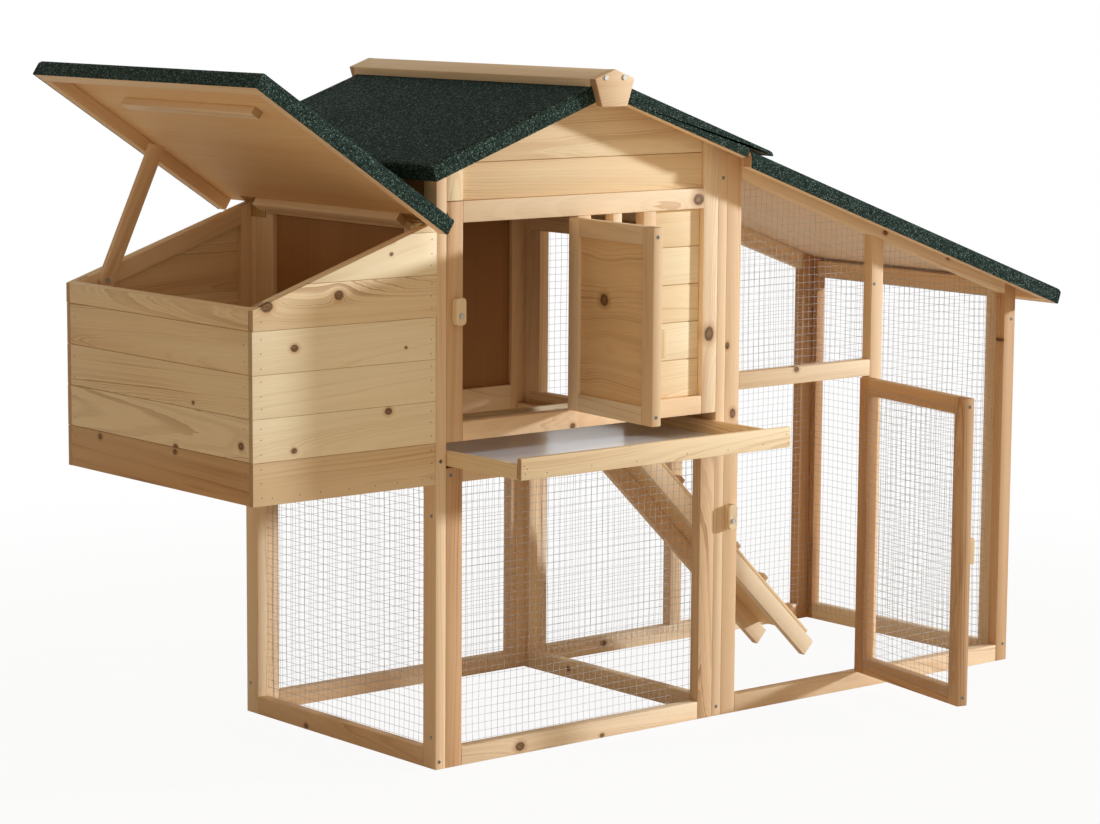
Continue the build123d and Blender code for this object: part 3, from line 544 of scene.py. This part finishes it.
# Sheets: thin plywood, nailed on. The door, the nest floor and the ramp have a pine face with
# broad, slow rings, and the lid a smoother one. The roofs are pale poplar. The plain walls are
# a dark red-brown, painted shade for the dim inside of the house.
sheet_arris = 0.0006
ply = pine(
    "pine_ply",
    paint(252, 220, 172),
    paint(240, 196, 142),
    paint(184, 126, 72),
    pitch=0.0065,
    mark=0.95,
    swirl=6.0,
)
smooth_ply = pine(
    "smooth_ply", paint(252, 220, 172), paint(238, 192, 138), paint(198, 142, 88), pitch=0.009, mark=0.3
)
poplar = pine(
    "poplar_ply", paint(252, 232, 210), paint(240, 212, 184), paint(212, 172, 136), pitch=0.014, mark=0.4
)
# Painted shade: the house's plain walls are coloured dark red-brown because they stand in shade.
wall_shade_ply = pine(
    "painted_shade_walls", paint(178, 132, 86), paint(160, 114, 71), paint(126, 85, 48), pitch=0.008, mark=0.4
)
door_knot = ((-0.3381, -0.3512, 0.7286, 0.0085),)
crossways, upwards = (0.0, 1.0, 0.0), (0.0, 0.0, 1.0)
for seed, (node, face, knots, way) in enumerate((
    ("left_wall_sheet", wall_shade_ply, (), upwards),
    ("back_wall_sheet", wall_shade_ply, (), upwards),
    ("roof_left_sheet", poplar, (), None),
    ("roof_right_sheet", poplar, (), None),
    ("run_roof_sheet", poplar, (), None),
    ("house_door_panel", ply, door_knot, crossways),
    ("lid_sheet", smooth_ply, (), None),
    ("nest_floor", ply, (), None),
    ("ramp_plank", ply, (), None),
), 91):
    joinery(node, face, sheet_arris, seed, knots, way)

# Wire mesh: galvanised welded mesh of half-inch squares, thin round wires one way laid over
# and welded to wires the other way. It is cut to each panel and stapled to the inside of it,
# so it lies a little uneven.
wire_thick = 0.00053
wire_pitch = 0.0127
wire_sides = 6
weld_share = 0.42
bulge, waver, held_edge = 0.0016, 0.0007, 0.05


def galvanised(name, bright, dull, spangle, metal):
    """Zinc or brass on steel: duller and brighter patches, more or less bare metal."""

    def build(flow):
        spot = flow.place()
        patch = spot.noise(spangle, 3.0, 0.6)
        fine = spot.noise(spangle * 9.0, 2.0)
        colour = flow.blend((patch * 0.7 + fine * 0.3).ease(0.3, 0.7), bright, dull)
        return {"Base Color": colour, "Roughness": 0.34 + patch * 0.24, "Metallic": metal}

    return finish(name, build)


mesh_zinc = galvanised("mesh_zinc", paint(196, 194, 194), paint(160, 158, 158), spangle=40.0, metal=0.2)


def wires(length, count, step, centre, turn):
    """A row of straight round wires side by side, jointed every two squares."""
    joints = max(2, round(length / (2 * wire_pitch)))
    reach = length / joints
    bpy.ops.object.select_all(action="DESELECT")
    bpy.ops.mesh.primitive_cylinder_add(
        vertices=wire_sides, radius=wire_thick / 2, depth=reach, end_fill_type="NOTHING"
    )
    row = bpy.context.active_object
    row.location = (-step * (count - 1) / 2, 0.0, (reach - length) / 2)
    bpy.ops.object.transform_apply(location=True, rotation=True, scale=True)
    for name, copies, offset in (
        ("length", joints, (0.0, 0.0, reach)),
        ("side", count, (step, 0.0, 0.0)),
    ):
        array = row.modifiers.new(name, "ARRAY")
        array.count = copies
        array.use_relative_offset = False
        array.use_constant_offset = True
        array.constant_offset_displace = offset
        array.use_merge_vertices = name == "length"
        array.merge_threshold = 0.00005
        bpy.ops.object.modifier_apply(modifier=name)
    row.matrix_world = Matrix.Translation(centre) @ turn
    bpy.ops.object.transform_apply(location=True, rotation=True, scale=True)
    return row


def welded(node, centre, wide, tall, facing, seed, slope=None):
    """A sheet of welded mesh that faces one way, cut under a slope where it has one."""
    turn = Matrix.Rotation(math.atan2(facing.x, -facing.y), 4, "Z")
    lay = Matrix.Rotation(math.radians(90), 4, "Y")
    across, upward = round(wide / wire_pitch) + 1, round(tall / wire_pitch) + 1
    over = facing * (wire_thick * weld_share)
    upright = wires(tall, across, (wide - wire_thick) / (across - 1), centre - over, turn)
    level = wires(wide, upward, (tall - wire_thick) / (upward - 1), centre + over, turn @ lay)
    bpy.ops.object.select_all(action="DESELECT")
    level.select_set(True)
    upright.select_set(True)
    bpy.context.view_layer.objects.active = upright
    bpy.ops.object.join()
    sheet = bpy.context.active_object
    sheet.name = node + "_wires"
    if slope:
        bpy.ops.object.mode_set(mode="EDIT")
        bpy.ops.mesh.select_all(action="SELECT")
        bpy.ops.mesh.bisect(plane_co=slope[0], plane_no=slope[1], clear_outer=True)
        bpy.ops.object.mode_set(mode="OBJECT")
    chance = random.Random(seed)
    sway = [(chance.uniform(6, 16), chance.uniform(6, 16), chance.uniform(0, 6.3)) for i in range(4)]
    along = turn.to_3x3() @ Vector((1, 0, 0))
    for point in sheet.data.vertices:
        off = point.co - centre
        u, v = off.dot(along), off.z
        free = max(min(wide / 2 - abs(u), tall / 2 - abs(v), held_edge) / held_edge, 0.0)
        swell = sum(math.sin(a * u + b * v + c) for a, b, c in sway) / 4
        point.co -= facing * (bulge * free * (swell + 1.0))
        point.co += along * (waver * math.sin(23 * v + sway[0][2]))
        point.co.z += waver * free * math.sin(19 * u + sway[1][2])
    bpy.ops.object.shade_smooth_by_angle(angle=math.radians(70))
    sheet.data.materials.clear()
    sheet.data.materials.append(mesh_zinc)
    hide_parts(node)
    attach(sheet, frame["nodes"][node]["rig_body"])


def hinge_of(door):
    """The pin of a door that stands open, and the way the outer face of the door looks."""
    joint = next(j for j in frame["joints"] if j["child"] == door)
    swing = math.radians(-joint["range_deg"][0])
    return Vector(joint["pos_m"]), Vector((math.sin(swing), -math.cos(swing), 0.0))


leftward, rightward = Vector((-1, 0, 0)), Vector((1, 0, 0))
forward, backward = Vector((0, -1, 0)), Vector((0, 1, 0))
roof_fall = Vector((math.tan(math.radians(19.6)), 0.0, 1.0)).normalized()
roof_gap = 0.001
under_roof = ("run_front_mesh_top", "run_front_mesh_side", "run_back_mesh")
for seed, (node, facing) in enumerate((
    ("left_side_mesh", leftward),
    ("front_lower_mesh", forward),
    ("back_mesh", backward),
    ("run_front_mesh_top", forward),
    ("run_front_mesh_side", forward),
    ("run_back_mesh", backward),
    ("run_end_mesh", rightward),
), 201):
    low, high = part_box(node)
    spread = high - low
    wide = spread.y if abs(facing.x) > 0.5 else spread.x
    cut = (Vector((low.x, 0.0, high.z - roof_gap)), roof_fall) if node in under_roof else None
    welded(node, (low + high) / 2, wide, spread.z, facing, seed, cut)

low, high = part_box("run_door_mesh")
plate_thick = 0.0004
door_wide = math.hypot(high.x - low.x, high.y - low.y) - plate_thick
welded("run_door_mesh", (low + high) / 2, door_wide, high.z - low.z, hinge_of("run_door")[1], 231)

# Roofing felt: bitumen sheet with dark green slate grains, glued and nailed over the ply and
# turned down over its edges, where it stays soft and round. The turned-down rims are given
# more pale grains, a painted highlight of the low sun on them.
felt_round = 0.008
side_area, top_area, strip_area = 0.0034, 0.1, 0.03


def slate_felt(name):
    """Black-green bitumen almost covered in small pale and dark green grains."""

    def build(flow):
        spot = flow.place()
        slate = spot.cells(420.0)
        kind = slate.other("Color").part(0)
        shade = slate.other("Color").part(1)
        dust = spot.cells(900.0).other("Color").part(0)
        worn = spot.noise(9.0, 4.0, 0.6)
        cloud = spot.noise(60.0, 3.0, 0.6)
        top = slate.ease(0.2, 0.7, 1.0, 0.0)
        turned = flow.attribute("turned")
        colour = flow.blend(shade, paint(18, 32, 28), paint(48, 68, 61))
        colour = colour.into(paint(112, 140, 130), kind.ease(0.74, 0.97) * top)
        colour = colour.into(paint(12, 22, 20), kind.ease(0.1, 0.35, 1.0, 0.0) * 0.7)
        colour = colour.into(paint(62, 86, 79), dust.ease(0.75, 1.0) * 0.5)
        colour = colour.into(paint(20, 36, 32), worn.ease(0.45, 0.75) * 0.3 + cloud.ease(0.5, 0.75) * 0.25)
        # Painted highlight: more pale grains on the turned-down rims, where the low sun catches them.
        colour = colour.into(paint(136, 162, 148), turned * (0.06 + kind**2 * 0.5) * top)
        height = top * 0.8 + shade * 0.6 + cloud * 0.8
        return {
            "Base Color": colour,
            "Roughness": 0.8 - kind.ease(0.5, 1.0) * 0.3,
            "Normal": height.bump(1.0, 0.002),
            "Specular IOR Level": 0.05,
        }

    return finish(name, build)


def bevel_where(piece, kind, wanted, offset, segments):
    """Bevels those edges, or the edges of those faces, of the active piece that pass a test."""
    bpy.ops.object.mode_set(mode="EDIT")
    bpy.ops.mesh.select_all(action="DESELECT")
    shape = bmesh.from_edit_mesh(piece.data)
    for part in getattr(shape, kind):
        if wanted(part):
            part.select = True
    bmesh.update_edit_mesh(piece.data)
    bpy.ops.mesh.bevel(offset=offset, segments=segments, affect="EDGES")
    bpy.ops.object.mode_set(mode="OBJECT")


def upper_rim(edge):
    """Whether an edge lies between the broad top of a felt and a side that is turned down."""
    if len(edge.link_faces) != 2 or not edge.is_convex:
        return False
    areas = sorted(face.calc_area() for face in edge.link_faces)
    return edge.calc_face_angle() > math.radians(50) and areas[0] > side_area and areas[1] > top_area


felt_grains = slate_felt("felt_grains")
for node in ("roof_left_felt", "roof_right_felt", "run_roof_felt", "lid_felt"):
    piece = merged(node, node + "_sheet")
    bevel_where(piece, "edges", upper_rim, felt_round, 5)
    bpy.ops.object.shade_smooth_by_angle(angle=math.radians(40))
    # Marks the turned-down rims, which the shader gives a painted highlight.
    turned = [float(face.area < strip_area) for face in piece.data.polygons]
    piece.data.attributes.new("turned", "FLOAT", "FACE").data.foreach_set("value", turned)
    piece.data.materials.append(felt_grains)
    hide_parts(node)
    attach(piece, frame["nodes"][node]["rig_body"])

# Tray bottom: a thin white coated sheet let in between the tray boards, flush underneath.
# It is a little cloudy and wavy, and glossy enough to mirror what stands behind it.


def coated(flow):
    """White coating: faint clouds and scuffs on a glossy, slightly wavy sheet."""
    spot = flow.place()
    cloud = spot.noise(7.0, 3.0, 0.55)
    scuff = spot.stretch(30.0, 4.0, 1.0).noise(1.0, 3.0, 0.6)
    share = cloud.ease(0.3, 0.7) * 0.6 + scuff.ease(0.55, 0.8) * 0.4
    return {
        "Base Color": flow.blend(share, paint(250, 252, 255), paint(238, 242, 252)),
        "Roughness": 0.14 + cloud * 0.14,
        "Normal": spot.noise(5.0, 1.0).bump(0.1, 0.004),
        "Specular IOR Level": 0.5,
    }


tray = merged("tray_sheet", "tray_bottom")
edges = tray.modifiers.new("edge", "BEVEL")
edges.width = 0.0004
edges.segments = 2
bpy.ops.object.modifier_apply(modifier="edge")
tray.data.materials.append(finish("white_coated_sheet", coated))
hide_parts("tray_sheet")
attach(tray, "tray")

# Turn buttons and handles: short blocks of pine with rounded corners, each button on one
# screw and each handle glued to its door.
button_corner, handle_corner, block_arris = 0.006, 0.003, 0.0008


def corners_along(way):
    """A test for the sharp edges of a block that run one way through it."""

    def wanted(edge):
        run = (edge.verts[1].co - edge.verts[0].co).normalized()
        return abs(run.dot(way)) > 0.99 and edge.calc_face_angle(0.0) > math.radians(70)

    return wanted


for seed, (node, corner, way) in enumerate((
    ("house_latch", button_corner, backward),
    ("run_latch", button_corner, backward),
    ("house_door_handle", handle_corner, hinge_of("house_door")[1]),
    ("run_door_handle", handle_corner, hinge_of("run_door")[1]),
), 131):
    block = merged(node, node + "_block")
    bevel_where(block, "edges", corners_along(way), corner, 4)
    arrises(block, block_arris, False, 30)
    grain(block, seed)
    block.data.materials.append(board_pine)
    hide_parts(node)
    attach(block, frame["nodes"][node]["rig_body"])

# Hinges and round-headed screws: folded steel leaves on pressed-in pins, brass plated, with
# the zinc plated screws that hold the turn buttons, the prop and the ridge blocks.
brassed = galvanised("brassed_steel", paint(206, 172, 112), paint(162, 126, 74), spangle=90.0, metal=0.75)
plated = galvanised("plated_steel", paint(190, 188, 182), paint(150, 146, 138), spangle=90.0, metal=0.75)
for node, metal in (
    ("hinge_fixed_leaves", brassed),
    ("house_door_leaves", brassed),
    ("run_door_leaves", brassed),
    ("lid_leaves", brassed),
    ("round_head_screws", plated),
):
    frame["nodes"][node].data.materials.clear()
    frame["nodes"][node].data.materials.append(metal)

# Panel nails: short thin brads with small heads, driven almost flush at the ends of the nest boards,
# along the nest's bottom edge and into the tray's front board. The heads have gone dull.


def round_head(name, sides, radius, depth, easing, steps):
    """The round head of a fastener, its upper edge eased."""
    bpy.ops.object.select_all(action="DESELECT")
    bpy.ops.mesh.primitive_cylinder_add(vertices=sides, radius=radius, depth=depth)
    piece = bpy.context.active_object
    piece.name = name
    bevel_where(piece, "faces", lambda face: face.normal.z > 0.9, easing, steps)
    return piece


def driven(name, fastener, places, body):
    """Copies one fastener to each place, its head facing out, and joins the copies to one piece."""
    bpy.ops.object.select_all(action="DESELECT")
    for place, outward in places:
        copy = bpy.data.objects.new(name, fastener.data.copy())
        bpy.context.scene.collection.objects.link(copy)
        turn = outward.to_track_quat("Z", "Y").to_matrix().to_4x4()
        copy.matrix_world = Matrix.Translation(place) @ turn
        copy.select_set(True)
    bpy.context.view_layer.objects.active = copy
    bpy.ops.object.join()
    bpy.ops.object.transform_apply(location=True, rotation=True, scale=True)
    piece = bpy.context.active_object
    piece.name = name
    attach(piece, body)


chance = random.Random(5)


def stray(by):
    """How far a nail misses its mark, to either side."""
    return chance.uniform(-by, by)


nail = round_head("brad_head", sides=8, radius=0.0009, depth=0.0008, easing=0.0003, steps=1)
dull = galvanised("dull_brads", paint(96, 84, 70), paint(58, 50, 42), spangle=300.0, metal=0.5)
nail.data.materials.append(dull)
course, nest_foot = 0.065, 0.450
nest_low_top, nest_slope, nest_edge = 0.744, math.tan(math.radians(18.6)), 0.006
nest_faces = ((front, forward), (back, backward))
outer_column, house_column, corner_columns = nest_left + 0.015, -0.603, (-0.236, 0.236)
column_lifts, corner_lifts = (0.012, 0.0325, 0.053), (0.017, 0.048)
foot_start, foot_step, foot_lift = -0.9, 0.046, 0.011
spots = []
for row in range(7):
    for lift in column_lifts:
        z = nest_foot + row * course + lift + stray(0.003)
        for x in (outer_column, house_column):
            if z < nest_low_top + (x - nest_left) * nest_slope - nest_edge:
                for y, facing in nest_faces:
                    spots.append((Vector((x + stray(0.001), y, z)), facing))
for row in range(4):
    for lift in corner_lifts:
        z = nest_foot + row * course + lift + stray(0.004)
        for y in corner_columns:
            spots.append((Vector((nest_left, y + stray(0.002), z)), leftward))
for step in range(7):
    x = foot_start + step * foot_step + stray(0.006)
    for y, facing in nest_faces:
        spots.append((Vector((x, y, nest_foot + foot_lift)), facing))
driven("nest_brads", nail, spots, "coop")

low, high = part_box("tray_boards")
tray_ends = ((0.008, 0.010), (0.012, 0.017), (0.006, 0.022), (0.555, 0.009), (0.552, 0.022))
tray_start, tray_step = 0.06, 0.088
spots = [(Vector((low.x + x, low.y, low.z + z)), forward) for x, z in tray_ends]
for step in range(6):
    x = low.x + tray_start + step * tray_step + stray(0.012)
    spots.append((Vector((x, low.y, low.z + chance.uniform(0.006, 0.011))), forward))
driven("tray_brads", nail, spots, "tray")
bpy.data.objects.remove(nail)

# Frame screws: zinc plated screws with cross slots, driven home with the thin head a little proud,
# one above the other where two panels meet and two in the free edge of each door.
screw = round_head("cross_head", sides=16, radius=0.0031, depth=0.0010, easing=0.0004, steps=2)
slot_long, slot_wide, slot_deep = 0.0040, 0.0009, 0.0010
for turn in (0.0, math.radians(90)):
    bpy.ops.object.select_all(action="DESELECT")
    bpy.ops.mesh.primitive_cube_add(
        size=1.0,
        location=(0, 0, slot_deep / 2),
        rotation=(0, 0, turn),
        scale=(slot_long, slot_wide, slot_deep),
    )
    slot_tool = bpy.context.active_object
    alone(screw)
    cut = screw.modifiers.new("slot", "BOOLEAN")
    cut.object = slot_tool
    cut.operation = "DIFFERENCE"
    bpy.ops.object.modifier_apply(modifier="slot")
    bpy.data.objects.remove(slot_tool)
zinc = galvanised("zinc_screws", paint(150, 148, 144), paint(92, 88, 84), spangle=220.0, metal=0.75)
screw.data.materials.append(zinc)

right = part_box("run_end_frame")[1].x
front_places = (
    (-0.5847, 0.4858),
    (-0.565, 0.463),
    (-0.5868, 0.012),
    (-0.584, 0.86),
    (0.0, 0.016),
    (0.0, 0.9),
    (0.3563, 0.705),
    (0.706, 0.6214),
    (0.706, 0.03),
)
spots = [(Vector((x, front, z)), forward) for x, z in front_places]
spots += [(Vector((left, y, z)), leftward) for y in (-0.246, 0.246) for z in (0.05, 0.40)]
spots += [(Vector((right, y, z)), rightward) for y in (-0.226, 0.246) for z in (0.05, 0.35, 0.62)]
spots += [(Vector((x, back, z)), backward) for x in (-0.564, -0.02, 0.022) for z in (0.05, 0.44, 0.86)]
driven("frame_screws", screw, spots, "coop")
behind_pin = 0.0124
for door, heights in (("house_door", (0.5595, 0.836)), ("run_door", (0.0455, 0.5315))):
    pin, facing = hinge_of(door)
    outward = Vector((facing.y, -facing.x, 0.0))
    reach = max((v.co - pin).dot(outward) for v in frame["nodes"][door + "_frame"].data.vertices)
    edge = pin + outward * reach - facing * behind_pin
    spots = [(Vector((edge.x, edge.y, z)), outward) for z in heights]
    driven(door + "_screws", screw, spots, door)
bpy.data.objects.remove(screw)

# The floor: a plain pale studio sheet that the coop stands on. It shows white to the camera and
# in what is glossy, and close to the coop it keeps a soft shadow.


def in_plain_sight(flow):
    """1 for what the camera sees, straight or mirrored, and 0 for all other light."""
    camera_ray = flow.put("ShaderNodeLightPath", {}, out="Is Camera Ray")
    return camera_ray.sum("MAXIMUM", camera_ray, camera_ray.other("Is Glossy Ray"))


pure_white, warm_shade = (1.0, 1.0, 1.0, 1.0), (0.76, 0.64, 0.5, 1.0)
floor_size, floor_drop = 60.0, 0.0005
bpy.ops.object.select_all(action="DESELECT")
bpy.ops.mesh.primitive_plane_add(size=floor_size, location=(0.0, 0.0, -floor_drop))
floor = bpy.context.active_object
floor.name = "studio_floor"
bpy.ops.object.transform_apply(location=True, rotation=True, scale=True)
white = bpy.data.materials.new("studio_white")
white.use_nodes = True
flow = Flow(white.node_tree)
plain = white.node_tree.nodes["Principled BSDF"]
plain.inputs["Base Color"].default_value = warm_shade
plain.inputs["Roughness"].default_value = 0.9
lit = Flow(white.node_tree, plain.outputs["BSDF"])
glow = flow.put("ShaderNodeEmission", {"Color": pure_white, "Strength": 1.0})
spot = flow.place()
away = ((spot.part(0) + 0.1) ** 2 + spot.part(1) ** 2) ** 0.5
glowing = in_plain_sight(flow) * away.ease(0.9, 2.6, 0.94, 1.0)
both = flow.put("ShaderNodeMixShader", {0: glowing, 1: lit, 2: glow})
white.node_tree.links.new(both.socket, white.node_tree.nodes["Material Output"].inputs["Surface"])
floor.data.materials.append(white)

# Studio light: one far lamp, low on the right of the front, makes the long soft shadows. A warm
# surround and two weak broad lamps, one in front and one straight above, fill them.
for name, energy, spread, colour, travel in (
    ("key_lamp", 3.2, 4, (0.92, 1.0, 1.08), Vector((-0.894, 0.406, -0.19))),
    ("front_lamp", 0.5, 80, (1.0, 0.84, 0.66), Vector((-0.12, 1.0, -0.1))),
    ("ceiling_lamp", 0.36, 80, (0.72, 0.87, 1.0), Vector((0.0, 0.0, -1.0))),
):
    bpy.ops.object.light_add(type="SUN", location=-3 * travel)
    lamp = bpy.context.active_object
    lamp.name = name
    lamp.data.energy = energy
    lamp.data.angle = math.radians(spread)
    lamp.data.color = colour
    lamp.rotation_mode = "QUATERNION"
    lamp.rotation_quaternion = travel.to_track_quat("-Z", "Y")
world = bpy.data.worlds.new("studio_surround")
bpy.context.scene.world = world
world.use_nodes = True
flow = Flow(world.node_tree)
fill = flow.put("ShaderNodeBackground", {"Color": (1.0, 0.79, 0.54, 1.0), "Strength": 0.29})
show = flow.put("ShaderNodeBackground", {"Color": pure_white, "Strength": 1.0})
both = flow.put("ShaderNodeMixShader", {0: in_plain_sight(flow), 1: fill, 2: show})
world.node_tree.links.new(both.socket, world.node_tree.nodes["World Output"].inputs["Surface"])

# The camera: it stands to the left of the front, a little above the ridge, with a long lens.
# Its place, its turns and its lens were fitted to the corners of the frames in the photograph.
eye = Vector((-3.616548, -4.140784, 1.254693))
yaw, pitch, roll = math.radians(39.925), math.radians(-7.984), math.radians(0.391)
focus_pixels, photo_pixels, sensor = 3239.715, 1100.0, 36.0
bpy.ops.object.camera_add(location=eye)
camera = bpy.context.active_object
camera.name = "front_left_camera"
ahead = Vector((math.sin(yaw) * math.cos(pitch), math.cos(yaw) * math.cos(pitch), math.sin(pitch)))
level = Vector((math.cos(yaw), -math.sin(yaw), 0.0))
upright = level.cross(ahead)
aside = level * math.cos(roll) + upright * math.sin(roll)
above = upright * math.cos(roll) - level * math.sin(roll)
camera.rotation_mode = "QUATERNION"
camera.rotation_quaternion = Matrix((aside, above, -ahead)).transposed().to_quaternion()
camera.data.sensor_width = sensor
camera.data.lens = sensor * focus_pixels / photo_pixels
camera.data.clip_end = 100.0
bpy.context.scene.camera = camera
bpy.context.scene.view_settings.view_transform = "Standard"
